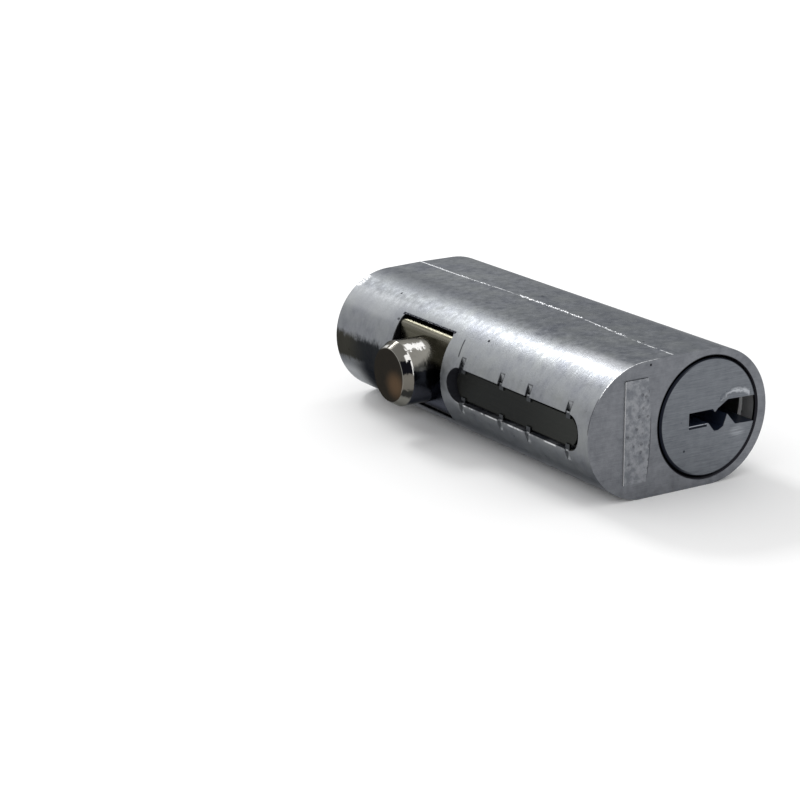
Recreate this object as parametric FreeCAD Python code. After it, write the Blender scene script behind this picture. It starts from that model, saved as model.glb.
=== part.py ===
import FreeCAD, Part
import math
import os

# A file cabinet lock in millimetres: an oval die-cast body holds a keyed plug in its right lobe,
# five spring-loaded pin stacks in its left lobe, and a side bolt in a window behind the plug.
# Each piece is built about the plug's axis, with the front face at y = 0, +Y to the rear and +Z up.
# Pieces are saved with the origin at the middle of the flat that the lock rests on.

V = FreeCAD.Vector
X_AXIS = V(1, 0, 0)
Y_AXIS = V(0, 1, 0)
Z_AXIS = V(0, 0, 1)
MITRED_CORNERS = 1

# Body: an oval bar. Its left lobe is a little lower on top because the two die halves differ, and
# it leans outwards to the rear. The right lobe is not quite centred on the plug.
body_length = 48.9
body_thickness = 14.72
lobe_offset = 0.3
lobe_spacing = 8.43
lobe_spread = 0.54
die_step = 0.16
parting_offset = 4.2

# Pin stacks: key pin lengths follow the cuts of the key, front to rear.
key_pin_lengths = (4.4, 5.4, 4.9, 5.9, 4.4)
first_pin_depth = 5.8
pin_pitch = 4.0
pin_diameter = 2.84
pin_chamber_gap = 0.05
pin_edge = 0.2
key_pin_tip_radius = 0.5
key_pin_recess = 0.13
key_chamber_end = 0.9
driver_gap = 0.05
driver_length = 3.9

# Springs: each coil is drawn with short straight runs of six-sided wire, to stay light.
spring_wire = 0.34
spring_gap = 0.12
spring_turns = 4
spring_runs_per_turn = 12
spring_wire_sides = 6

# Plug: the turning cylinder, with the length that it keeps behind the last pin.
plug_diameter = 12.7
plug_tail = 4.8
plug_gap = 0.07
plug_edge = 0.1
bore_edge = 0.22

# Keyway: places of its steps along X and their heights, measured from the plug's axis.
keyway_end_wall = 1.1
keyway_left = -2.55
keyway_top = 0.78
keyway_bottom = -0.64
keyway_tooth_x = (0.57, 0.85, 1.25)
keyway_tooth_tip = 0.4
keyway_shoulder_x = 2.53
keyway_shoulder_top = 1.54
keyway_mouth_top = 1.38
keyway_mouth_bottom = -1.46
keyway_belly_x = (0.81, 1.35)
keyway_belly_bottom = -1.63
keyway_ward_x = (2.0, 2.47, 3.6)
keyway_ward_tip = -0.02
keyway_ward_foot = -1.3

# Cover strip: closes the pin chambers in a round-ended slot along the left lobe.
slot_front_margin = 4.2
slot_rear_margin = 3.65
slot_width = 3.84
slot_depth = 1.11
strip_gap = 0.32
strip_end_gap = 0.85
strip_thickness = 0.6

# Stakes: chisel cuts beside the slot that fold small tongues of the body over the strip.
stake_places = (2.28, 9.25, 14.26, 21.53)
stake_width = 0.7
stake_reach = 1.2
stake_tongue = 0.25
stake_tongue_thickness = 0.15
stake_root = 0.2

# Front pad: a low raised area on the face beside the plug, left blank.
pad_left = -10.9
pad_right = -8.05
pad_bow = 0.4
pad_height = 11.0
pad_rise = 0.14

# Window: the opening in the left lobe for the bolt, just behind the plug's end.
window_gap = 0.15
window_length = 10.35
window_height = 9.8
window_corner = 0.5

# Bolt: a guided block with a round nose pressed into it, moved by a stud on the plug.
bolt_throw = 4.0
plug_turn = 90.0
bolt_face_inset = 0.96
bolt_side_gap = 0.1
bolt_top_gap = 0.4
bolt_bottom_gap = 0.2
bolt_block_round = 0.9
bolt_end_gap = 0.2
bolt_tail_wall = 0.95
bolt_nose_diameter = 7.4
bolt_nose_projection = 3.75
bolt_nose_chamfer = 1.04
bolt_nose_face_radius = 3.05
bolt_nose_drop = 0.25
bolt_shank_diameter = 4.8
bolt_shank_length = 5.4
stud_diameter = 2.5
stud_length = 4.2
stud_slot_gap = 0.2

# Retaining pin: driven up from the rest flat, it lies across a groove of the plug.
retaining_pin_diameter = 1.2
retaining_pin_setback = 3.3
retaining_pin_rise = 3.0
retaining_pin_sink = 0.1
retaining_groove_depth = 1.05
retaining_groove_gap = 0.05
retaining_pin_gap = 0.02

# Extra length given to cutting shapes, so that they pass clean through a surface.
overcut = 2.0

half_thickness = body_thickness / 2
left_radius = (body_thickness - die_step) / 2
left_centre_z = left_radius - half_thickness
lobe_front_x = lobe_offset - lobe_spacing
lobe_crest_x = lobe_front_x - left_radius
flat_middle_x = lobe_offset - (lobe_spacing + lobe_spread / 2) / 2
plug_radius = plug_diameter / 2
bore_radius = plug_radius + plug_gap
pin_radius = pin_diameter / 2
chamber_radius = pin_radius + pin_chamber_gap
pin_depths = [first_pin_depth + pin_pitch * index for index in range(len(key_pin_lengths))]
last_pin_depth = pin_depths[-1]
plug_length = last_pin_depth + plug_tail
keyway_depth = plug_length - keyway_end_wall
retaining_pin_depth = last_pin_depth + retaining_pin_setback
slot_start = first_pin_depth - slot_front_margin
slot_end = last_pin_depth + slot_rear_margin
stake_depths = [slot_start + place for place in stake_places]
slot_floor_x = lobe_crest_x + slot_depth
strip_face_x = slot_floor_x - strip_thickness
window_start = plug_length + window_gap
window_centre_y = window_start + window_length / 2
half_turn = math.radians(plug_turn / 2)
crank_radius = bolt_throw / (2 * math.sin(half_turn))
stud_x = -crank_radius * math.sin(half_turn)
stud_z = crank_radius * math.cos(half_turn)
stud_radius = stud_diameter / 2
block_face_x = lobe_crest_x + bolt_face_inset
block_tail_x = stud_x + stud_radius + stud_slot_gap + bolt_tail_wall
groove_floor = plug_radius - retaining_groove_depth
retaining_pin_radius = retaining_pin_diameter / 2
retaining_pin_x = -groove_floor - retaining_pin_gap - retaining_pin_radius
driver_inner_x = -bore_radius - driver_gap
driver_outer_x = driver_inner_x - driver_length


def box(x_span, y_span, z_span):
    """A block between pairs of coordinates."""
    low = V(min(x_span), min(y_span), min(z_span))
    size = V(max(x_span), max(y_span), max(z_span)) - low
    return Part.makeBox(size.x, size.y, size.z, low)


def rod_along_x(radius, x_from, x_to, y, z=0.0):
    """A round bar along X."""
    return Part.makeCylinder(radius, x_to - x_from, V(x_from, y, z), X_AXIS)


def profile_along_y(points, y_from, y_to):
    """A closed outline of (x, z) points, extruded along Y."""
    corners = [V(x, y_from, z) for x, z in points]
    face = Part.Face(Part.makePolygon(corners + corners[:1]))
    return face.extrude(V(0, y_to - y_from, 0))


def turned_along_x(points, y, z=0.0):
    """A closed outline of (x, radius) points, revolved about an axis along X."""
    corners = [V(x, y, z + radius) for x, radius in points]
    face = Part.Face(Part.makePolygon(corners + corners[:1]))
    return face.revolve(V(0, y, z), X_AXIS, 360)


def stadium_along_x(x_from, x_to, y_span, width):
    """A round-ended bar of the given width, lying along Y and extruded along X."""
    radius = width / 2
    start, end = y_span
    middle = box((x_from, x_to), (start + radius, end - radius), (-radius, radius))
    front = rod_along_x(radius, x_from, x_to, start + radius)
    rear = rod_along_x(radius, x_from, x_to, end - radius)
    return middle.fuse([front, rear]).removeSplitter()


def flat_face(corners):
    """A plane face between corner points."""
    return Part.Face(Part.makePolygon(corners + corners[:1]))


def leaning_lobe(lean, touch_angle):
    """The round of the left lobe: a cylinder about a leaning axis, cut square at both ends."""
    axis = lean.normalize()
    start = V(lobe_front_x, 0, left_centre_z) - axis * overcut
    height = body_length + 2 * overcut
    spoke = V(math.cos(touch_angle), 0, math.sin(touch_angle)) * (left_radius + overcut)
    far_left = V(-left_radius - overcut, 0, 0)
    far_down = V(0, 0, -left_radius - overcut)
    corners = [V(0, 0, 0), spoke, spoke + far_left, far_down + far_left, far_down]
    wedge = flat_face([start + corner for corner in corners]).extrude(axis * height)
    bar = Part.makeCylinder(left_radius, height, start, axis).common(wedge)
    low = V(lobe_crest_x - 2 * overcut, 0, -body_thickness)
    slab = Part.makeBox(body_thickness, body_length, 2 * body_thickness, low)
    return max(bar.common(slab).Faces, key=lambda face: face.Area)


def body_bar():
    """The oval bar: a flat below, the plug's lobe, the parting crease and the leaning left lobe."""
    straight = V(0, body_length, 0)
    crease = V(-parting_offset, 0, half_thickness)
    towards = crease - V(lobe_front_x, 0, left_centre_z)
    touch_angle = math.atan2(towards.z, towards.x) + math.acos(left_radius / towards.Length)
    lobe = leaning_lobe(V(-lobe_spread, body_length, 0), touch_angle)
    front_arc, rear_arc = sorted(lobe.Edges, key=lambda edge: edge.BoundBox.YLength)[:2]
    if front_arc.CenterOfMass.y > rear_arc.CenterOfMass.y:
        front_arc, rear_arc = rear_arc, front_arc
    bottom_front, touch_front = sorted([corner.Point for corner in front_arc.Vertexes], key=lambda p: p.z)
    bottom_rear, touch_rear = sorted([corner.Point for corner in rear_arc.Vertexes], key=lambda p: p.z)
    bottom_right = V(lobe_offset, 0, -half_thickness)
    top_right = V(lobe_offset, 0, half_thickness)
    right_arc = Part.Arc(bottom_right, V(lobe_offset + half_thickness, 0, 0), top_right).toShape()
    rear_right_arc = right_arc.copy()
    rear_right_arc.translate(straight)
    front_edges = [
        Part.LineSegment(bottom_front, bottom_right).toShape(),
        right_arc,
        Part.LineSegment(top_right, crease).toShape(),
        Part.LineSegment(crease, touch_front).toShape(),
        front_arc,
    ]
    rear_edges = [
        Part.LineSegment(bottom_rear, bottom_right + straight).toShape(),
        rear_right_arc,
        Part.LineSegment(top_right + straight, crease + straight).toShape(),
        Part.LineSegment(crease + straight, touch_rear).toShape(),
        rear_arc,
    ]
    shell = Part.makeShell([
        Part.Face(Part.Wire(front_edges)),
        Part.Face(Part.Wire(rear_edges)),
        flat_face([bottom_front, bottom_right, bottom_right + straight, bottom_rear]),
        right_arc.extrude(straight),
        flat_face([top_right, crease, crease + straight, top_right + straight]),
        flat_face([crease, touch_front, touch_rear]),
        flat_face([crease, touch_rear, crease + straight]),
        lobe,
    ])
    shell.sewShape()
    return Part.makeSolid(shell)


def bore_with_mouth():
    """The plug's bore, open into the window, with a broken edge at the face."""
    bore = Part.makeCylinder(bore_radius, window_start + overcut, V(0, 0, 0), Y_AXIS)
    mouth = Part.makeCone(bore_radius + bore_edge, bore_radius, bore_edge, V(0, 0, 0), Y_AXIS)
    return bore.fuse(mouth)


def window_cut():
    """The bolt's room: a square window through the left lobe, with rounded long edges."""
    inner_x = block_tail_x + bolt_throw + bolt_end_gap
    half = window_height / 2
    room = box(
        (lobe_crest_x - overcut, inner_x),
        (window_start, window_start + window_length),
        (-half, half),
    )
    long_edges = [edge for edge in room.Edges if abs(edge.tangentAt(edge.FirstParameter).x) > 0.9]
    return room.makeFillet(window_corner, long_edges)


def stake_cuts():
    """Chisel cuts beside the slot: deepest at its edge, they run out on the round of the lobe."""
    slot_edge = slot_width / 2
    cut_end = slot_edge + stake_reach
    cuts = []
    for depth in stake_depths:
        left_x = lobe_front_x - lobe_spread * depth / body_length
        cut_floor = left_x - math.sqrt(left_radius ** 2 - cut_end ** 2)
        y_span = (depth - stake_width / 2, depth + stake_width / 2)
        cuts.append(box((lobe_crest_x - overcut, cut_floor), y_span, (-cut_end, cut_end)))
    return cuts


def stake_tongues():
    """The tongues that the chisel folded over both edges of the strip."""
    strip_edge = slot_width / 2 - strip_gap
    x_span = (strip_face_x - stake_tongue_thickness, strip_face_x)
    tongues = []
    for depth in stake_depths:
        y_span = (depth - stake_width / 2, depth + stake_width / 2)
        for side in (1, -1):
            z_span = (side * (strip_edge - stake_tongue), side * (slot_width / 2 + stake_root))
            tongues.append(box(x_span, y_span, z_span))
    return tongues


def housing():
    """The die-cast body with its bore, pin chambers, strip slot, window and front pad."""
    body = body_bar()
    half_pad = pad_height / 2
    pad_corners = [V(pad_right, -pad_rise, -half_pad), V(pad_right, -pad_rise, half_pad)]
    pad_left_corners = [V(pad_left, -pad_rise, half_pad), V(pad_left, -pad_rise, -half_pad)]
    pad_edges = [
        Part.Arc(pad_corners[0], V(pad_right + pad_bow, -pad_rise, 0), pad_corners[1]).toShape(),
        Part.LineSegment(pad_corners[1], pad_left_corners[0]).toShape(),
        Part.LineSegment(pad_left_corners[0], pad_left_corners[1]).toShape(),
        Part.LineSegment(pad_left_corners[1], pad_corners[0]).toShape(),
    ]
    pad = Part.Face(Part.Wire(pad_edges)).extrude(V(0, 2 * pad_rise, 0))
    slot_span = (slot_start, slot_end)
    cuts = [
        bore_with_mouth(),
        stadium_along_x(lobe_crest_x - overcut, slot_floor_x, slot_span, slot_width),
        window_cut(),
        Part.makeCylinder(
            retaining_pin_radius,
            half_thickness + retaining_pin_rise,
            V(retaining_pin_x, retaining_pin_depth, -half_thickness),
            Z_AXIS,
        ),
    ]
    for depth in pin_depths:
        cuts.append(rod_along_x(chamber_radius, slot_floor_x - overcut / 2, 0, depth))
    return body.fuse(pad).cut(cuts + stake_cuts()).fuse(stake_tongues()).removeSplitter()


def pin_cover_strip():
    """The flat strip that closes the chambers and carries the springs."""
    y_span = (slot_start + strip_end_gap, slot_end - strip_end_gap)
    return stadium_along_x(strip_face_x, slot_floor_x, y_span, slot_width - 2 * strip_gap)


def keyway_profile():
    """The warded outline of the keyway, open at the plug's rim."""
    rim = plug_radius + overcut
    tooth_start, tooth_middle, tooth_end = keyway_tooth_x
    belly_left, belly_right = keyway_belly_x
    ward_left, ward_middle, ward_right = keyway_ward_x
    return [
        (keyway_left, keyway_top),
        (tooth_start, keyway_top),
        (tooth_middle, keyway_tooth_tip),
        (tooth_end, keyway_top),
        (keyway_shoulder_x, keyway_shoulder_top),
        (rim, keyway_mouth_top),
        (rim, keyway_mouth_bottom),
        (ward_right, keyway_ward_foot),
        (ward_middle, keyway_ward_tip),
        (ward_left, keyway_ward_foot),
        (belly_right, keyway_belly_bottom),
        (belly_left, keyway_belly_bottom),
        (0, keyway_bottom),
        (keyway_left, keyway_bottom),
    ]


def plug():
    """The plug: a cylinder with a keyway, pin chambers, a retaining groove and the drive stud."""
    face = Part.makeCone(plug_radius - plug_edge, plug_radius, plug_edge, V(0, 0, 0), Y_AXIS)
    barrel = Part.makeCylinder(plug_radius, plug_length - plug_edge, V(0, plug_edge, 0), Y_AXIS)
    stud = Part.makeCylinder(stud_radius, stud_length, V(stud_x, plug_length, stud_z), Y_AXIS)
    groove_width = retaining_pin_diameter + 2 * retaining_groove_gap
    groove_base = V(0, retaining_pin_depth - groove_width / 2, 0)
    groove_outer = Part.makeCylinder(plug_radius + overcut, groove_width, groove_base, Y_AXIS)
    groove_inner = Part.makeCylinder(groove_floor, groove_width, groove_base, Y_AXIS)
    cuts = [
        profile_along_y(keyway_profile(), -overcut, keyway_depth),
        groove_outer.cut(groove_inner),
    ]
    for depth in pin_depths:
        cuts.append(rod_along_x(chamber_radius, -plug_radius - overcut, key_chamber_end, depth))
    return barrel.fuse([face, stud]).removeSplitter().cut(cuts)


def key_pin(depth, length):
    """A key pin: a flat outer end just inside the plug's rim, and a cone that rides on the key."""
    outer = -plug_radius + key_pin_recess
    inner = outer + length
    cone = pin_radius - key_pin_tip_radius
    return turned_along_x(
        [
            (outer, 0),
            (outer, pin_radius - pin_edge),
            (outer + pin_edge, pin_radius),
            (inner - cone, pin_radius),
            (inner, key_pin_tip_radius),
            (inner, 0),
        ],
        depth,
    )


def driver_pin(depth):
    """A driver pin, waiting at the shear line behind its key pin."""
    return turned_along_x(
        [
            (driver_outer_x, 0),
            (driver_outer_x, pin_radius - pin_edge),
            (driver_outer_x + pin_edge, pin_radius),
            (driver_inner_x - pin_edge, pin_radius),
            (driver_inner_x, pin_radius - pin_edge),
            (driver_inner_x, 0),
        ],
        depth,
    )


def pin_spring(depth):
    """The coil spring between a driver pin and the cover strip."""
    wire_radius = spring_wire / 2
    coil_radius = chamber_radius - spring_gap - wire_radius
    start_x = slot_floor_x + wire_radius
    rise = driver_outer_x - wire_radius - start_x
    runs = spring_turns * spring_runs_per_turn
    path = []
    for index in range(runs + 1):
        angle = 2 * math.pi * index / spring_runs_per_turn
        y = depth + coil_radius * math.cos(angle)
        path.append(V(start_x + rise * index / runs, y, coil_radius * math.sin(angle)))
    along = (path[1] - path[0]).normalize()
    across = along.cross(X_AXIS).normalize()
    upward = along.cross(across)
    section = []
    for side in range(spring_wire_sides):
        angle = 2 * math.pi * (side + 0.5) / spring_wire_sides
        spoke = across * math.cos(angle) + upward * math.sin(angle)
        section.append(path[0] + spoke * wire_radius)
    line = Part.Wire(Part.makePolygon(path).Edges)
    outline = Part.makePolygon(section + section[:1])
    return line.makePipeShell([outline], True, False, MITRED_CORNERS)


def retaining_pin():
    """The small pin that keeps the plug in its bore."""
    base = V(retaining_pin_x, retaining_pin_depth, retaining_pin_sink - half_thickness)
    length = half_thickness + retaining_pin_rise - retaining_pin_sink
    return Part.makeCylinder(retaining_pin_radius, length, base, Z_AXIS)


def bolt_block():
    """The bolt's guided block, with a slot for the plug's stud and a hole for the nose."""
    bottom = bolt_bottom_gap - window_height / 2
    top = window_height / 2 - bolt_top_gap
    front = window_start + bolt_side_gap
    rear = window_start + window_length - bolt_side_gap
    block = box((block_face_x, block_tail_x), (front, rear), (bottom, top))
    face_edges = []
    for edge in block.Edges:
        middle = edge.CenterOfMass
        lies_along_y = abs(edge.tangentAt(edge.FirstParameter).y) > 0.9
        if lies_along_y and abs(middle.x - block_face_x) < bolt_side_gap:
            face_edges.append(edge)
    block = block.makeFillet(bolt_block_round, face_edges)
    reach = stud_radius + stud_slot_gap
    stud_end = plug_length + stud_length + stud_slot_gap
    stud_slot = box(
        (stud_x - reach, stud_x + reach),
        (front - overcut, stud_end),
        (stud_z - reach, crank_radius + reach),
    )
    shank_hole = rod_along_x(
        bolt_shank_diameter / 2,
        block_face_x - overcut,
        block_face_x + bolt_shank_length,
        window_centre_y,
        -bolt_nose_drop,
    )
    return block.cut([stud_slot, shank_hole])


def bolt_nose():
    """The round bolt nose: a shank in the block, and a chamfered end that stands out of the lobe."""
    end = lobe_crest_x - bolt_nose_projection
    radius = bolt_nose_diameter / 2
    shank = bolt_shank_diameter / 2
    shank_end = block_face_x + bolt_shank_length
    return turned_along_x(
        [
            (end, 0),
            (end, bolt_nose_face_radius),
            (end + bolt_nose_chamfer, radius),
            (block_face_x, radius),
            (block_face_x, shank),
            (shank_end - pin_edge, shank),
            (shank_end, shank - pin_edge),
            (shank_end, 0),
        ],
        window_centre_y,
        -bolt_nose_drop,
    )


def save(name, shape):
    """Move a piece to the lock's own origin and write its file."""
    moved = shape.copy()
    moved.translate(V(-flat_middle_x, -body_length / 2, half_thickness))
    moved.exportStep("parts/" + name + ".step")
    box_now = moved.BoundBox
    sizes = (box_now.XMin, box_now.XMax, box_now.YMin, box_now.YMax, box_now.ZMin, box_now.ZMax)
    numbers = " ".join("%.3f" % value for value in sizes)
    print(name, len(moved.Solids), moved.isValid(), "%.3f" % moved.Volume, numbers)


os.makedirs("parts", exist_ok=True)
save("housing", housing())
save("pin_cover_strip", pin_cover_strip())
save("plug_retaining_pin", retaining_pin())
save("plug", plug())
for number, (depth, length) in enumerate(zip(pin_depths, key_pin_lengths), start=1):
    save("key_pin_%d" % number, key_pin(depth, length))
    save("driver_pin_%d" % number, driver_pin(depth))
    save("pin_spring_%d" % number, pin_spring(depth))
save("bolt_block", bolt_block())
save("bolt_nose", bolt_nose())
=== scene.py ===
import math
import random

import bmesh
import bpy
from mathutils import Matrix, Vector, noise


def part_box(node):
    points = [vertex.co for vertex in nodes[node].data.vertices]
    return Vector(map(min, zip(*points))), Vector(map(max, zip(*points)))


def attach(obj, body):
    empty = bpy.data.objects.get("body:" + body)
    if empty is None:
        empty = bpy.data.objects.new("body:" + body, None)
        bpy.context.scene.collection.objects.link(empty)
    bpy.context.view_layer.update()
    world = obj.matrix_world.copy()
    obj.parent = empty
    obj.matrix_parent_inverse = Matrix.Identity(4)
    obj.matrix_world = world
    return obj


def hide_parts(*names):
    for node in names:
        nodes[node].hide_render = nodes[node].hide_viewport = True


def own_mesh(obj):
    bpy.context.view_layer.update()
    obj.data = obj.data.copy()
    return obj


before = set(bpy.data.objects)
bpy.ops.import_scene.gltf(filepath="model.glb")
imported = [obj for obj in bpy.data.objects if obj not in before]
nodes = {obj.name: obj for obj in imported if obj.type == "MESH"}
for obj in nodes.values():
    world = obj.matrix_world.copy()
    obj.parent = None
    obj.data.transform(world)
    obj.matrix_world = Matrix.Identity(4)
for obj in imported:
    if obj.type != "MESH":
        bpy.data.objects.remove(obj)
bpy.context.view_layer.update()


# The housing is a zinc die casting with a dull plated skin. It was cast in two die halves, tumbled and
# left unpolished, so it is mottled and pitted, with fine streaks round the lobes and a rough, blank
# cast pad on the face beside the plug.
def join(tree, socket, value):
    """Links a tie to a socket, or sets a number, vector or colour there."""
    if isinstance(value, Tie):
        tree.links.new(value.socket, socket)
    elif socket.type == "RGBA" and len(value) == 3:
        socket.default_value = (*value, 1.0)
    else:
        socket.default_value = value


def shader_node(tree, kind, settings=(), sockets=(), out=0):
    """Any node: its type, its settings first, then values or links by socket name or number."""
    made = tree.nodes.new("ShaderNode" + kind)
    for key, value in dict(settings).items():
        setattr(made, key, value)
    for key, value in dict(sockets).items():
        join(tree, made.inputs[key], value)
    return Tie(tree, made.outputs[out])


class Tie:
    """A shader socket that takes part in Python sums."""

    def __init__(self, tree, socket):
        self.tree = tree
        self.socket = socket

    def math(self, operation, *others, clamp=False):
        """A Math node on this socket and other sockets or numbers."""
        settings = {"operation": operation, "use_clamp": clamp}
        return shader_node(self.tree, "Math", settings, enumerate((self, *others)))

    def __add__(self, other):
        return self.math("ADD", other)

    def __sub__(self, other):
        return self.math("SUBTRACT", other)

    def __mul__(self, other):
        return self.math("MULTIPLY", other)

    def __rsub__(self, other):
        return (self * -1.0).math("ADD", other)

    def __gt__(self, other):
        return self.math("GREATER_THAN", other)

    def __lt__(self, other):
        return self.math("LESS_THAN", other)

    __radd__ = __add__
    __rmul__ = __mul__

    def size(self):
        return self.math("ABSOLUTE")

    def angle(self, other):
        """The turn from the other axis towards this one, in degrees."""
        return self.math("ARCTAN2", other) * (180 / math.pi)

    def hypot(self, other):
        return (self * self + other * other).math("SQRT")

    def either(self, other):
        """The larger of two masks or numbers."""
        return self.math("MAXIMUM", other)

    def clamped(self):
        return self.math("ADD", 0.0, clamp=True)

    def between(self, low, high):
        """0 at low, 1 at high, and smooth in between, also where low is the larger."""
        ends = {0: self, 1: low, 2: high}
        return shader_node(self.tree, "MapRange", {"interpolation_type": "SMOOTHSTEP"}, ends)

    def band(self, low, high, soft):
        """1 from low to high, fading over soft on both sides."""
        return self.between(low - soft, low) * self.between(high + soft, high)


class Finish:
    """A material and the nodes that make it."""

    def __init__(self, name):
        self.material = bpy.data.materials.new(name)
        self.material.use_nodes = True
        self.tree = self.material.node_tree
        self.shader = self.tree.nodes["Principled BSDF"]

    def place(self, scale=(1, 1, 1), centre=(0, 0, 0)):
        """Object coordinates in millimetres, centred and stretched."""
        fit = {
            "Vector": shader_node(self.tree, "TexCoord", out="Object"),
            "Scale": [1000 * s for s in scale],
            "Location": [-c * s for c, s in zip(centre, scale)],
        }
        return shader_node(self.tree, "Mapping", sockets=fit)

    def axes(self, place):
        """The three numbers of a place."""
        split = shader_node(self.tree, "SeparateXYZ", sockets={"Vector": place}).socket.node
        return [Tie(self.tree, number) for number in split.outputs]

    def grain(self, place, scale, detail, roughness):
        """Noise round 0.5, with the scale in cells to a millimetre."""
        look = {"Vector": place, "Scale": scale, "Detail": detail, "Roughness": roughness}
        return shader_node(self.tree, "TexNoise", sockets=look)

    def specks(self, place, scale):
        """Distance from scattered points, in cells."""
        return shader_node(self.tree, "TexVoronoi", sockets={"Vector": place, "Scale": scale})

    def tint(self, share, first, second):
        """A colour that goes from the first to the second as share goes from 0 to 1."""
        parts = {0: share, 6: first, 7: second}
        return shader_node(self.tree, "Mix", {"data_type": "RGBA"}, parts, out=2)

    def relief(self, height, depth_mm, strength):
        """A bump of the given depth."""
        look = {"Height": height, "Distance": depth_mm / 1000, "Strength": strength}
        return shader_node(self.tree, "Bump", sockets=look)

    def set(self, **values):
        """Values or links of the main shader, by socket name."""
        for key, value in values.items():
            join(self.tree, self.shader.inputs[key.replace("_", " ")], value)


def dress(name, finish):
    """Gives a CAD node its finish."""
    nodes[name].data.materials.clear()
    nodes[name].data.materials.append(finish.material)


# Sizes on the casting are in millimetres from the middle of the plug's face.
low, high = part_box("plug")
plug_face = ((low[0] + high[0]) / 2, low[1], (low[2] + high[2]) / 2)
FACE_MIDDLE = tuple(1000 * value for value in plug_face)
HOUSING_LENGTH = 48.9
LEFT_CENTRE, LEFT_LEAN, LEFT_DROP = -8.13, 0.01104, -0.08
RIGHT_CENTRE, RIGHT_RADIUS = 0.3, 7.36
CREASE = -4.2
PAD_LEFT, PAD_RIGHT, PAD_BOW, PAD_HALF_HEIGHT = -10.9, -8.05, 0.4, 5.5
SLOT_MIDDLE, SLOT_HALF_RUN, SLOT_HALF_WIDTH = 13.525, 10.0, 1.92
STAKES, STAKE_HALF_WIDTH = (3.88, 10.85, 15.86, 23.13), 0.42
WINDOW_START, WINDOW_END = 26.7, 37.2
PITS = ((-12.1, 40.5, 6.3, 0.16), (-13.3, 20.85, 5.29, 0.2), (-7.7, 0.0, 6.76, 0.17))
# The parting line starts left of the crease, swings over it and comes part of the way back.
LINE_START, LINE_SWING, LINE_RETURN = -0.5, 0.9, 0.4
SWING_RUN, RETURN_RUN = (5.0, 20.0), (30.0, 42.0)

zinc = Finish("housing_zinc")
spot = zinc.place(centre=FACE_MIDDLE)
x, y, z = zinc.axes(spot)
ring = x.hypot(z)
lobe_x = x + y * LEFT_LEAN - LEFT_CENTRE
lobe_z = z - LEFT_DROP
lobe_reach = lobe_x.hypot(lobe_z)
lobe_turn = lobe_z.angle(lobe_x * -1.0)
on_lobe = lobe_reach.between(7.05, 7.15) * (x < -7.0) * y.band(0.02, HOUSING_LENGTH - 0.07, 0.02)
on_side = x < -12.0
on_top = z.between(7.1, 7.3) * x.between(CREASE - 0.3, CREASE + 0.3)
on_face = y.between(0.06, 0.02)
on_pad = y.between(-0.05, -0.1)
cloud = zinc.grain(spot, 0.3, 3.0, 0.6)
mottle = zinc.grain(spot, 1.3, 4.0, 0.65)
grit = zinc.grain(spot, 7.0, 2.0, 0.6)
ragged = zinc.grain(zinc.place((0.1, 0.8, 0.1)), 1.0, 3.0, 0.7)
round_streak = zinc.grain(zinc.place((0.35, 5.0, 0.35)), 1.0, 3.0, 0.65)
long_streak = zinc.grain(zinc.place((5.0, 0.25, 5.0)), 1.0, 3.0, 0.6)
face_streak = zinc.grain(zinc.place((0.5, 1.0, 9.0)), 1.0, 3.0, 0.65)
streak = (round_streak - 0.5) * (1.0 - on_top) * (1.0 - on_face)
streak = streak + (long_streak - 0.5) * on_top + (face_streak - 0.5) * on_face
tone = (cloud - 0.5) + (mottle - 0.5) * 1.3 + streak * (0.3 + on_face * 0.3 + on_top * 0.3)
colour = zinc.tint((tone + 0.5).clamped(), (0.14, 0.147, 0.163), (0.29, 0.30, 0.322))
dull = (cloud * 2.0 - 0.6).clamped() * (1.0 - on_face) * 0.7
colour = zinc.tint(dull, colour, (0.225, 0.235, 0.224))

# Broad painted highlights and painted shade on the lobe: degrees round it, their softness, where they fade
# in along it, share, colour.
PAINTED_LIGHT_PATCHES = (
    (62.0, 72.0, 8.0, (13.0, 5.0), 0.6, (0.46, 0.47, 0.49)),
    (58.0, 90.0, 12.0, (28.0, 42.0), 0.35, (0.12, 0.125, 0.135)),
    (36.0, 50.0, 8.0, (34.0, 42.0), 0.5, (0.36, 0.37, 0.38)),
)
for start, end, soft, run, share, shade in PAINTED_LIGHT_PATCHES:
    patch = lobe_turn.band(start, end, soft) * y.between(*run) * on_lobe
    colour = zinc.tint(patch * share, colour, shade)
# Painted shade darkens the front face and a band low on the lobe, and a painted reflection of the floor
# lightens the lobe's bottom.
colour = zinc.tint(on_face * 0.22, colour, (0.05, 0.055, 0.065))
colour = zinc.tint(lobe_turn.band(-44.0, -24.0, 9.0) * on_lobe * 0.3, colour, (0.055, 0.060, 0.070))
colour = zinc.tint(lobe_turn.between(-38.0, -52.0) * on_lobe * 0.6, colour, (0.42, 0.43, 0.45))

# Walls of the openings, inside the skin, are painted dark as painted shade. The bore's mouth at the keyway
# carries a painted reflection, white and hardly metallic.
skin = (lobe_reach.between(7.1, 7.22) * (x < -7.5)).either(z.size().between(6.9, 7.1))
skin = skin.either((x - RIGHT_CENTRE).hypot(z).between(7.2, 7.3) * (x > 0.0))
skin = skin.either(y.between(0.03, 0.01)).either(y.between(HOUSING_LENGTH - 0.1, HOUSING_LENGTH - 0.05))
painted_bore_light = y.band(2.35, 2.75, 0.12) + y.band(0.6, 2.4, 0.2) * 0.4 + y.band(2.7, 6.0, 0.3) * 0.15
painted_bore_gleam = (x > 5.9) * (ring < 6.6) * z.band(-1.5, 1.4, 0.2) * painted_bore_light
from_stake = (y - STAKES[0]).size()
for stake in STAKES[1:]:
    from_stake = from_stake.math("MINIMUM", (y - stake).size())
staked = (from_stake < STAKE_HALF_WIDTH) * z.size().band(1.3, 3.3, 0.02) * on_side
colour = zinc.tint((1.0 - skin.either(staked)) * (1.0 - painted_bore_gleam), colour, (0.018, 0.018, 0.022))
colour = zinc.tint(painted_bore_gleam.clamped(), colour, (1.0, 1.0, 1.0))
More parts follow.
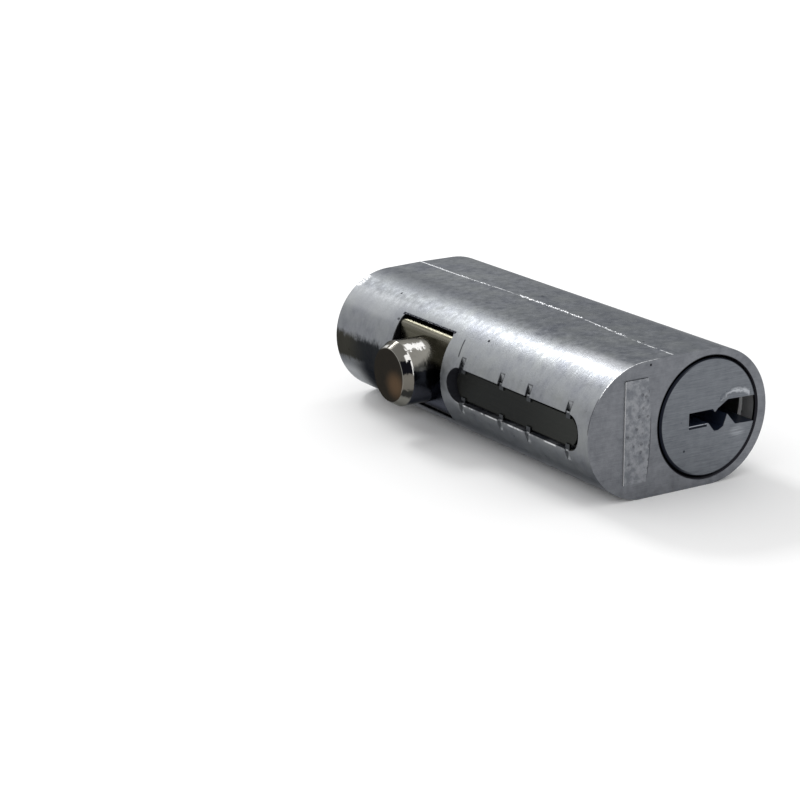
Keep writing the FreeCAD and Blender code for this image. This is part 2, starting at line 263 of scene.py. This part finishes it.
slot_reach = ((y - SLOT_MIDDLE).size() - SLOT_HALF_RUN).either(0.0).hypot(z) - SLOT_HALF_WIDTH
# Painted shade darkens the slot's walls beside the strip and the stake notches in it. Towards the front end
# the walls are painted lighter.
in_slot = (slot_reach < 0.04) * (x < -13.5) * (1.0 - skin) * (1.0 - staked)
painted_slot_shade = zinc.tint(y.between(4.2, 3.4), (0.022, 0.025, 0.032), (0.13, 0.13, 0.115))
colour = zinc.tint(in_slot, colour, painted_slot_shade)
colour = zinc.tint(staked * (slot_reach < 0.02) * 0.85, colour, (0.035, 0.037, 0.040))

# Painted highlights along the parting line, the front edge and the slot's lower lip, and a painted glint at
# the rear edge.
line_x = CREASE + LINE_START + y.between(*SWING_RUN) * LINE_SWING - y.between(*RETURN_RUN) * LINE_RETURN
line = (x - line_x + (mottle - 0.5) * 0.35).size().between(0.13, 0.03) * (z > 6.9)
line_breaks = zinc.grain(zinc.place((0.1, 1.1, 0.1)), 1.0, 3.0, 0.7)
line = line * line_breaks.between(0.40, 0.55).either(y.between(36.0, 42.0))
front_edge = y.band(0.03, 0.11, 0.02) * lobe_turn.band(42.0, 96.0, 8.0)
front_edge = front_edge * grit.between(0.32, 0.5) * (x < CREASE)
lip = slot_reach.band(0.04, 0.2, 0.05) * (z < -1.2) * y.band(4.5, 24.5, 0.8)
lip = lip * on_side * ragged.between(0.42, 0.58)
glint = y.between(47.9, 48.5) * lobe_turn.band(53.0, 67.0, 2.0) * on_lobe * grit.between(0.42, 0.55)
painted_highlights = line.either(front_edge).either(lip * 0.9).either(glint).clamped()
colour = zinc.tint(painted_highlights, colour, (0.86, 0.87, 0.88))

# Stake marks, pits and a scratch, a darker ring round the plug, and painted shade along the slot's edge,
# the stake marks' outlines, the window's edges, the lobe's front edge and the pad's right edge.
in_stake = from_stake.between(STAKE_HALF_WIDTH, 0.36)
stake_mark = z.size().between(3.25, 3.1) * (z.size() > 1.95) * on_side
colour = zinc.tint(stake_mark * in_stake * 0.8, colour, (0.27, 0.28, 0.29))
stake_line = from_stake.band(0.34, STAKE_HALF_WIDTH, 0.04)
stake_line = stake_line.either(in_stake * (z - 3.14).size().between(0.14, 0.06))
slot_edge_shade = slot_reach.band(-0.2, 0.03, 0.05) * (y.between(12.0, 20.0) * 0.8 + 0.2) * on_side
slot_edge_shade = slot_edge_shade * grit.between(0.2, 0.45)
slot_edge_shade = slot_edge_shade.either(stake_mark * (z > 0.0) * stake_line * ragged.between(0.3, 0.5))
pits = zinc.specks(zinc.place((1.0, 0.7, 1.0)), 0.24).between(0.05, 0.03) * 0.7
for pit_x, pit_y, pit_z, pit_size in PITS:
    away = (x - pit_x).hypot(y - pit_y).hypot(z - pit_z)
    pits = pits.either(away.between(pit_size, pit_size * 0.5))
scratch = (y - 24.2 - (z - 3.1) * 0.2).size().between(0.16, 0.05) * z.band(3.1, 4.6, 0.2) * on_side
ring_darkening = on_face * ring.between(6.74, 6.64) * (ring > 6.3) * x.between(3.5, -1.0)
window_edge_shade = z.size().band(4.85, 5.0, 0.1) * y.band(WINDOW_START, WINDOW_END, 0.1)
window_edge_shade = window_edge_shade * (x < -8.0) * grit.between(0.3, 0.5)
front_edge_shade = y.band(0.06, 0.18, 0.02) * lobe_turn.band(8.0, 34.0, 4.0) * grit.between(0.3, 0.5)
pad_edge = x - PAD_RIGHT - PAD_BOW + z * z * (PAD_BOW / PAD_HALF_HEIGHT ** 2)
pad_shadow = pad_edge.band(-0.02, 0.15, 0.05) * z.band(-4.6, 0.8, 0.8)
pad_shadow = pad_shadow * ragged.between(0.3, 0.5) * on_face
dark = pits.either(scratch * 0.8).either(ring_darkening).either(slot_edge_shade * 0.75)
dark = dark.either(window_edge_shade).either(front_edge_shade * 0.7)
dark = (dark * (1.0 - on_pad)).either(pad_shadow * 0.8).clamped()
colour = zinc.tint(dark, colour, (0.02, 0.02, 0.024))

# The lobe's rear end, past the window, has a paler patch of painted reflection low down, and a ragged brown
# band of painted reflection that widens into painted shade near the bolt.
reflection_turn = lobe_turn + (mottle - 0.5) * 12.0 + (round_streak - 0.5) * 5.0
near_bolt = y.between(47.0, 42.5)
rear_reflection = reflection_turn.band(-14.0, 3.0, 8.0).either(reflection_turn.band(-70.0, 3.0, 9.0) * near_bolt)
rear_reflection = rear_reflection * y.between(36.6, 38.4) * on_lobe
rear_sheen = y.between(42.0, 46.5) * lobe_turn.between(-20.0, -34.0) * on_lobe
colour = zinc.tint(rear_sheen * 0.8, colour, (0.46, 0.47, 0.48))
rear_reflection_colour = zinc.tint(near_bolt, (0.030, 0.027, 0.017), (0.004, 0.004, 0.004))
colour = zinc.tint(rear_reflection * 0.9, colour, rear_reflection_colour)

# The pad keeps the rough skin of the die, with small holes, and its left wall carries a painted highlight.
pad_colour = zinc.tint(mottle.between(0.35, 0.65), (0.17, 0.18, 0.20), (0.33, 0.34, 0.36))
pad_holes = zinc.specks(zinc.place((1.0, 0.1, 1.0)), 1.3).between(0.34, 0.16)
pad_holes = pad_holes * z.band(-4.4, 4.2, 0.5) * grit.between(0.35, 0.55)
pad_colour = zinc.tint(pad_holes * 0.75, pad_colour, (0.05, 0.052, 0.06))
colour = zinc.tint(on_pad * 0.8, colour, pad_colour)
on_pad_wall = y.band(-0.2, -0.005, 0.004) * (x < PAD_LEFT + 0.03)
colour = zinc.tint(on_pad_wall, colour, (0.8, 0.8, 0.8))
height = mottle * 0.45 + grit * 0.2 + streak * 0.5 + on_pad * (grit * 1.2 + mottle)
height = height + painted_highlights * 0.5 - pits * 0.8
zinc.set(
    Base_Color=colour,
    Metallic=1.0 - painted_bore_gleam.either(in_slot).clamped() * 0.9,
    Specular_Tint=(0.4, 0.41, 0.43),
    Roughness=((mottle - 0.5) * 0.5 + 0.37 + y.between(14.0, 40.0) * 0.14 + on_pad * 0.12).clamped(),
    Normal=zinc.relief(height, 0.05, 0.85),
)
dress("housing", zinc)


# Casting flash: crumbs of zinc that the trimming tool left standing along the parting line. They crowd
# in places, and stand highest near the middle of the line.
CRUMB_TRIES, CRUMB_STRETCH = 260, (0.8, 1.7, 0.65)
FLASH_FRONT, FLASH_REAR, BARE_UP_TO = 3.0, 47.5, 38
TALL_RUN = (17, 29)


def ramp(value, start, end):
    """0 before the start, 1 past the end, and straight in between."""
    return min(1.0, max(0.0, (value - start) / (end - start)))


def piece(name, mesh_builder, body, material):
    """A smooth mesh that rides on a body and takes a slot's finish."""
    mesh = bpy.data.meshes.new(name)
    mesh_builder.to_mesh(mesh)
    mesh_builder.free()
    mesh.shade_smooth()
    mesh.materials.append(material)
    made = bpy.data.objects.new(name, mesh)
    bpy.context.scene.collection.objects.link(made)
    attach(made, body)
    return made


rng = random.Random(7)
crumbs = bmesh.new()
for number in range(CRUMB_TRIES):
    along = rng.uniform(FLASH_FRONT, FLASH_REAR)
    crowd = noise.noise(Vector((along * 0.35, 3.1, 0.0)))
    if crowd < -0.05 and along < BARE_UP_TO:
        continue
    grade = 0.05 + 0.06 * max(0.0, crowd) + (0.06 if TALL_RUN[0] < along < TALL_RUN[1] else 0.0)
    reach = grade * rng.uniform(0.6, 1.5)
    offset = LINE_START + LINE_SWING * ramp(along, *SWING_RUN) - LINE_RETURN * ramp(along, *RETURN_RUN)
    middle = Vector((CREASE + offset + rng.gauss(0, 0.09), along, RIGHT_RADIUS - 0.01))
    made = bmesh.ops.create_icosphere(crumbs, subdivisions=1, radius=reach)["verts"]
    for vert in made:
        rough = 1 + 0.35 * noise.noise(vert.co * 30 + middle)
        vert.co = Vector([c * k * rough for c, k in zip(vert.co, CRUMB_STRETCH)]) + middle
to_metres = Matrix.Translation(plug_face) @ Matrix.Scale(0.001, 4)
bmesh.ops.transform(crumbs, matrix=to_metres, verts=crumbs.verts)
flash = Finish("flash_zinc")
flash_tone = flash.grain(flash.place(centre=FACE_MIDDLE), 6.0, 2.0, 0.6)
flash_colour = flash.tint(flash_tone, (0.45, 0.46, 0.48), (0.85, 0.86, 0.88))
flash.set(Base_Color=flash_colour, Metallic=1.0, Roughness=0.32)
piece("casting_flash", crumbs, "housing", flash.material)


# The plug is cast zinc too. Its face was turned and brushed across and its keyway broached through with
# small burrs. Dirt specks lie on the face, the keyway is painted dark as painted shade, and the plug's rim
# in the ring of clearance round the face is darker.
BURR_MIDDLE, BURR_RADIUS = (3.7, -0.2), 2.6
plug_zinc = Finish("plug_zinc")
spot = plug_zinc.place(centre=FACE_MIDDLE)
x, y, z = plug_zinc.axes(spot)
ring = x.hypot(z)
brush = plug_zinc.grain(plug_zinc.place((0.45, 1.0, 11.0)), 1.0, 4.0, 0.65)
fine_brush = plug_zinc.grain(plug_zinc.place((1.2, 1.0, 26.0)), 1.0, 2.0, 0.6)
blotch = plug_zinc.grain(spot, 0.8, 4.0, 0.65)
grit = plug_zinc.grain(spot, 8.0, 2.0, 0.6)
tone = (brush - 0.5) * 1.1 + (fine_brush - 0.5) * 0.5 + (blotch - 0.5) * 0.7
colour = plug_zinc.tint((tone + 0.45).clamped(), (0.095, 0.103, 0.118), (0.215, 0.23, 0.25))
on_face = y.between(0.08, 0.02)
# The burr's arc above the keyway carries a painted highlight, with painted shade between it and the
# keyway's edge, and a paler smear lies below the keyway.
burr = (x - BURR_MIDDLE[0]).hypot(z - BURR_MIDDLE[1]) - BURR_RADIUS + (blotch - 0.5) * 1.2
burr_arc = burr.size().between(0.36, 0.0) * (z > 1.45) * (x < 5.4)
burr_light = burr_arc * blotch.between(0.35, 0.5) * x.between(0.6, 3.4) * 0.9
burr_shade = burr.band(0.1, 0.3, 0.1) * (z > 1.35) * (x < 4.6)
smear = ((x - 3.9) * 0.55).hypot(z + 2.15).between(0.75, 0.2) * brush.between(0.4, 0.6)
colour = plug_zinc.tint(burr_light.either(smear * 0.35) * on_face, colour, (0.45, 0.47, 0.50))
burr_shade = burr_shade * on_face * brush.between(0.4, 0.65) * 0.6
colour = plug_zinc.tint(burr_shade, colour, (0.03, 0.035, 0.05))
stains = plug_zinc.specks(spot, 0.5).between(0.09, 0.05)
rim = ring.between(6.14, 6.24).either(ring.between(6.0, 6.1) * x.between(-1.0, -4.0))
# Under the keyway a pale line is a painted highlight on a burr's lip, and a dark line below it is painted
# shade.
below_keyway = x.band(-2.5, -0.2, 0.05) * on_face
colour = plug_zinc.tint(z.band(-0.72, -0.62, 0.02) * below_keyway * 0.8, colour, (0.36, 0.38, 0.42))
colour = plug_zinc.tint(z.band(-0.98, -0.76, 0.03) * below_keyway, colour, (0.012, 0.014, 0.02))
specks_and_dark_rim = (stains * 0.8 * on_face).either(rim * y.between(1.2, 0.8))
colour = plug_zinc.tint(specks_and_dark_rim, colour, (0.010, 0.012, 0.018))
in_keyway = y.band(0.1, 25.6, 0.05) * ring.between(6.3, 6.2)
colour = plug_zinc.tint(in_keyway, colour, (0.014, 0.020, 0.038))
height = brush * 0.8 + fine_brush * 0.3 + grit * 0.15 + burr_arc * 4.0 * on_face
plug_zinc.set(
    Base_Color=colour,
    Metallic=1.0 - in_keyway * 0.8,
    Roughness=((blotch - 0.5) * 0.35 + 0.36).clamped(),
    Normal=plug_zinc.relief(height, 0.03, 0.7),
)
dress("plug", plug_zinc)


# The bolt is bright nickel over zinc: a guided block and a turned nose. The nose carries painted reflection
# and painted shade round it, and its end face is dark with a painted brown reflection.
low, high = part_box("bolt_nose")
nose_axis = [500 * (a + b) for a, b in zip(low, high)]
NOSE_END = 1000 * low[0]
nickel = Finish("nickel")
spot = nickel.place()
x, y, z = nickel.axes(spot)
out = x - NOSE_END
sideways = (y - nose_axis[1]) * -1.0
above = z - nose_axis[2]
reach = sideways.hypot(above)
turn = above.angle(sideways)
cloud = nickel.grain(spot, 0.5, 3.0, 0.6)
mottle = nickel.grain(spot, 2.2, 4.0, 0.65)
turned = nickel.grain(nickel.place((7.0, 0.6, 0.6)), 1.0, 3.0, 0.6)
tone = (cloud - 0.5) * 0.5 + (mottle - 0.5) * 0.5 + (turned - 0.5) * 0.3
# Painted reflection and shade: warm and pale above, dark blue below, with a painted gleam and streak.
upper = nickel.tint((tone + 0.5).clamped(), (0.17, 0.163, 0.145), (0.33, 0.32, 0.29))
lower = nickel.tint((tone + 0.5).clamped(), (0.035, 0.038, 0.050), (0.085, 0.09, 0.108))
shade = (turn + (mottle - 0.5) * 24.0).between(10.0, 19.0).either((turn.size() > 150.0) * 0.8)
nose_colour = nickel.tint(shade, lower, upper)
gleam_turn = turn + (mottle - 0.5) * 30.0 + (turned - 0.5) * 14.0
gleam = gleam_turn.band(58.0, 70.0, 3.0) * out.band(1.35, 3.5, 0.25)
nose_colour = nickel.tint(gleam, nose_colour, (1.0, 0.99, 0.97))
streak = (turn + (mottle - 0.5) * 8.0).band(16.0, 20.0, 2.0) * out.band(2.0, 3.6, 0.3)
nose_colour = nickel.tint(streak * 0.5, nose_colour, (0.45, 0.44, 0.42))

# The bevel's colour changes at these turns round it, in degrees, as painted reflection and shade, and
# it carries two painted glints and a painted highlight at its rim.
BEVEL_CHANGES = (
    (-40.0, -30.0, (0.03, 0.03, 0.028)),
    (-22.0, -14.0, (0.15, 0.14, 0.122)),
    (10.0, 15.0, (0.006, 0.006, 0.008)),
    (38.0, 44.0, (0.13, 0.125, 0.112)),
    (-150.0, -170.0, (0.2, 0.19, 0.17)),
)
bevel_turn = turn + (mottle - 0.5) * 22.0
bevel_colour = (0.19, 0.187, 0.168)
for start, end, shade in BEVEL_CHANGES:
    bevel_colour = nickel.tint(bevel_turn.between(start, end), bevel_colour, shade)
bevel_glints = bevel_turn.band(38.0, 46.0, 3.0) * out.between(0.55, 0.7)
bevel_glints = bevel_glints.either(turn.band(100.0, 116.0, 4.0) * out.between(0.5, 0.25))
bevel_colour = nickel.tint(bevel_glints, bevel_colour, (0.9, 0.89, 0.86))
nose_colour = nickel.tint(out.band(0.03, 1.02, 0.02), nose_colour, bevel_colour)
rim_gleam = out.band(1.0, 1.12, 0.05) * turn.band(14.0, 60.0, 6.0) * mottle.between(0.42, 0.52)
nose_colour = nickel.tint(rim_gleam, nose_colour, (0.9, 0.89, 0.86))
# The end face is dark, with a painted brown reflection low on the right and a painted highlight on its rim.
on_end = out.between(0.03, 0.01)
end_reflection = ((sideways - 1.5) * 0.8).hypot(above + 0.9).between(2.1, 0.3)
end_reflection = (end_reflection * 0.9 + (mottle - 0.5) * 0.25).clamped()
end_colour = nickel.tint(end_reflection, (0.028, 0.026, 0.023), (0.105, 0.070, 0.045))
end_ring = reach.between(2.93, 3.0) * turn.band(-20.0, 110.0, 15.0)
end_colour = nickel.tint(end_ring * 0.35, end_colour, (0.55, 0.54, 0.5))
nose_colour = nickel.tint(on_end, nose_colour, end_colour)
nickel.set(
    Base_Color=nose_colour,
    Metallic=1.0,
    Specular_Tint=(0.4, 0.4, 0.4),
    Roughness=((mottle - 0.5) * 0.22 + 0.17 + on_end * 0.2).clamped(),
    Normal=nickel.relief(mottle * 0.5 + turned * 0.35 + cloud * 0.8, 0.05, 0.5),
)
dress("bolt_nose", nickel)

# The block is drawn nickel, with a painted highlight along its upper edge, painted shade towards the floor
# and painted shade inside.
low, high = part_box("bolt_block")
BLOCK_TOP, BLOCK_FACE = 1000 * high[2], 1000 * low[0]
block_nickel = Finish("block_nickel")
spot = block_nickel.place()
x, y, z = block_nickel.axes(spot)
mottle = block_nickel.grain(spot, 1.6, 4.0, 0.65)
drawn = block_nickel.grain(block_nickel.place((6.0, 0.25, 6.0)), 1.0, 3.0, 0.6)
tone = (mottle - 0.5) * 0.6 + (drawn - 0.5) * 0.7
colour = block_nickel.tint((tone + 0.5).clamped(), (0.050, 0.048, 0.037), (0.10, 0.096, 0.074))
lower_shade = (z + (mottle - 0.5) * 1.5).between(BLOCK_TOP - 5.4, BLOCK_TOP - 3.8)
colour = block_nickel.tint(lower_shade, (0.050, 0.054, 0.068), colour)
edge = (z - BLOCK_TOP + 0.5).size().between(0.34, 0.1)
edge = edge.either((z - BLOCK_TOP + 1.25).size().between(0.2, 0.05) * 0.25)
colour = block_nickel.tint(edge * drawn.between(0.25, 0.5) * 0.7, colour, (0.13, 0.125, 0.105))
inside = x.between(BLOCK_FACE + 0.9, BLOCK_FACE + 1.3)
colour = block_nickel.tint(inside, colour, (0.02, 0.02, 0.022))
block_nickel.set(
    Base_Color=colour,
    Metallic=1.0,
    Specular_Tint=(0.5, 0.5, 0.5),
    Roughness=((mottle - 0.5) * 0.3 + 0.24).clamped(),
    Normal=block_nickel.relief(mottle * 0.5 + drawn * 0.4, 0.04, 0.5),
)
dress("bolt_block", block_nickel)


# The cover strip is thin bright steel, its colour painted very dark as a painted reflection of dark
# surroundings, and lighter towards the front. It was rolled along its length and is held by the small
# tongues of zinc that a chisel folded over its edges.
strip_steel = Finish("strip_steel")
spot = strip_steel.place(centre=FACE_MIDDLE)
x, y, z = strip_steel.axes(spot)
rolled = strip_steel.grain(strip_steel.place((3.0, 0.2, 9.0)), 1.0, 3.0, 0.6)
mottle = strip_steel.grain(spot, 1.5, 4.0, 0.65)
grit = strip_steel.grain(spot, 9.0, 2.0, 0.6)
tone = (rolled - 0.5) * 0.7 + (mottle - 0.5) * 0.6
colour = strip_steel.tint((tone + 0.5).clamped(), (0.014, 0.0145, 0.014), (0.030, 0.030, 0.027))
colour = strip_steel.tint(y.between(14.0, 2.0) * 0.35, colour, (0.06, 0.062, 0.056))
edge = z.size().between(1.48, 1.58)
colour = strip_steel.tint(edge * grit.between(0.3, 0.6) * 0.6, colour, (0.015, 0.015, 0.014))
strip_steel.set(
    Base_Color=colour,
    Metallic=1.0,
    Specular_Tint=(0.55, 0.57, 0.6),
    Roughness=((mottle - 0.5) * 0.3 + 0.36).clamped(),
    Normal=strip_steel.relief(rolled * 0.5 + mottle * 0.4 + grit * 0.15, 0.03, 0.5),
)
dress("pin_cover_strip", strip_steel)


# The key pins and driver pins are turned brass, with fine rings from the tool and a darker, oily skin.
# Each stack stands with its parting at the plug's edge.
brass = Finish("brass")
rings = brass.grain(brass.place((9.0, 0.5, 0.5)), 1.0, 2.0, 0.5)
patina = brass.grain(brass.place(), 1.4, 4.0, 0.6)
brass.set(
    Base_Color=brass.tint(((rings - 0.5) * 0.6 + patina).clamped(), (0.36, 0.22, 0.07), (0.72, 0.52, 0.22)),
    Metallic=1.0,
    Roughness=((patina - 0.5) * 0.3 + 0.28).clamped(),
    Normal=brass.relief(rings, 0.02, 0.5),
)
for name in nodes:
    if name.startswith(("key_pin", "driver_pin")):
        dress(name, brass)


# The retaining pin is a plain hardened steel wire end, driven up flush from the flat below. It stands
# in the plug's groove.
pin_steel = Finish("pin_steel")
blued = pin_steel.grain(pin_steel.place(), 1.5, 4.0, 0.6)
filed = pin_steel.grain(pin_steel.place((6.0, 0.6, 1.0)), 1.0, 3.0, 0.6)
pin_steel.set(
    Base_Color=pin_steel.tint(blued, (0.10, 0.10, 0.11), (0.34, 0.34, 0.35)),
    Metallic=1.0,
    Roughness=((filed - 0.5) * 0.3 + 0.33).clamped(),
    Normal=pin_steel.relief(filed, 0.02, 0.5),
)
dress("plug_retaining_pin", pin_steel)


# The springs are coils of fine round music wire between the drivers and the cover strip. Each is spun
# round its axis as a plain coil.
SPRINGS, SPRING_TURNS, STEPS_PER_TURN = 5, 4, 20
WIRE_SIDES, WIRE_RADIUS = 8, 0.00017
spring_steel = Finish("spring_steel")
sheen = spring_steel.grain(spring_steel.place(), 3.0, 3.0, 0.6)
spring_steel.set(
    Base_Color=spring_steel.tint(sheen, (0.30, 0.30, 0.31), (0.62, 0.62, 0.63)),
    Metallic=1.0,
    Roughness=((sheen - 0.5) * 0.2 + 0.25).clamped(),
    Normal=spring_steel.relief(sheen, 0.01, 0.4),
)
for number in range(1, SPRINGS + 1):
    node = "pin_spring_%d" % number
    low, high = [Vector(corner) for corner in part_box(node)]
    middle = (low + high) / 2
    coil_radius = (high.z - low.z) / 2 - WIRE_RADIUS
    steps = SPRING_TURNS * STEPS_PER_TURN
    rise = (high.x - low.x - 2 * WIRE_RADIUS) / steps
    coil = bmesh.new()
    wire = bmesh.ops.create_circle(coil, segments=WIRE_SIDES, radius=WIRE_RADIUS)["verts"]
    bmesh.ops.translate(coil, verts=wire, vec=(low.x + WIRE_RADIUS, middle.y + coil_radius, middle.z))
    bmesh.ops.spin(
        coil, geom=wire + coil.edges[:], cent=middle, axis=(1, 0, 0), dvec=(rise, 0, 0),
        angle=2 * math.pi * SPRING_TURNS, steps=steps,
    )
    ends = [edge for edge in coil.edges if edge.is_boundary]
    bmesh.ops.holes_fill(coil, edges=ends, sides=WIRE_SIDES)
    bmesh.ops.recalc_face_normals(coil, faces=coil.faces)
    wound = piece("wound_spring_%d" % number, coil, "housing", spring_steel.material)
    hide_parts(node)
    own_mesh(wound)


# The floor is a plain pale sheet under the lock, and the world is a plain pale studio. What looks
# straight at the world, or at its reflection, sees it white.
floor_mesh = bpy.data.meshes.new("floor")
sheet = bmesh.new()
bmesh.ops.create_grid(sheet, x_segments=1, y_segments=1, size=3.0)
sheet.to_mesh(floor_mesh)
sheet.free()
floor = bpy.data.objects.new("floor", floor_mesh)
bpy.context.scene.collection.objects.link(floor)
paper = Finish("paper")
paper.set(Base_Color=(0.93, 0.93, 0.93), Roughness=0.9)
floor_mesh.materials.append(paper.material)

SEEN, LIGHTING = 1.0, 0.95
world = bpy.data.worlds.new("studio")
bpy.context.scene.world = world
world.use_nodes = True
tree = world.node_tree
rays = shader_node(tree, "LightPath").socket.node.outputs
camera_ray, glossy_ray, through_ray = [
    Tie(tree, rays[kind]) for kind in ("Is Camera Ray", "Is Glossy Ray", "Is Transmission Ray")
]
looks = camera_ray.either(glossy_ray).either(through_ray)
backdrop = tree.nodes["Background"]
join(tree, backdrop.inputs["Strength"], shader_node(tree, "MapRange", (), {0: looks, 3: LIGHTING, 4: SEEN}))
join(tree, backdrop.inputs["Color"], (1, 1, 1))

# The camera stands at the photograph's place, to the left of and above the keyed face.
SENSOR, FOCAL_PIXELS, IMAGE_PIXELS = 36.0, 2222.2, 800
YAW = math.radians(31.644)
PITCH = math.radians(16.762)
ROLL = math.radians(-0.259)
EYE = Vector((-0.137855, -0.194106, 0.075275))
forward = Vector((math.sin(YAW) * math.cos(PITCH), math.cos(YAW) * math.cos(PITCH), -math.sin(PITCH)))
right = Vector((math.cos(YAW), -math.sin(YAW), 0))
upward = right.cross(forward)
across = right * math.cos(ROLL) + upward * math.sin(ROLL)
over = upward * math.cos(ROLL) - right * math.sin(ROLL)
camera_data = bpy.data.cameras.new("camera")
camera = bpy.data.objects.new("camera", camera_data)
bpy.context.scene.collection.objects.link(camera)
camera_data.sensor_width = SENSOR
camera_data.lens = FOCAL_PIXELS / IMAGE_PIXELS * SENSOR
camera_data.clip_start = 0.01
camera.matrix_world = Matrix.Translation(EYE) @ Matrix((across, over, -forward)).transposed().to_4x4()
bpy.context.scene.camera = camera


def lamp(name, towards, distance, size, power):
    """A soft area lamp that shines at the lock from the given direction."""
    data = bpy.data.lights.new(name, "AREA")
    data.shape = "RECTANGLE"
    data.size, data.size_y = size
    data.energy = power
    made = bpy.data.objects.new(name, data)
    bpy.context.scene.collection.objects.link(made)
    back = Vector(towards).normalized()
    facing = back.to_track_quat("Z", "Y").to_matrix().to_4x4()
    made.matrix_world = Matrix.Translation(back * distance) @ facing


lamp("window_lamp", (0.0, 0.785, 0.617), 0.6, (0.15, 0.085), 1.15)
lamp("wall_lamp", (-0.40, 0.785, 0.474), 0.9, (0.5, 0.3), 0.5)

bpy.context.scene.view_settings.view_transform = "Standard"
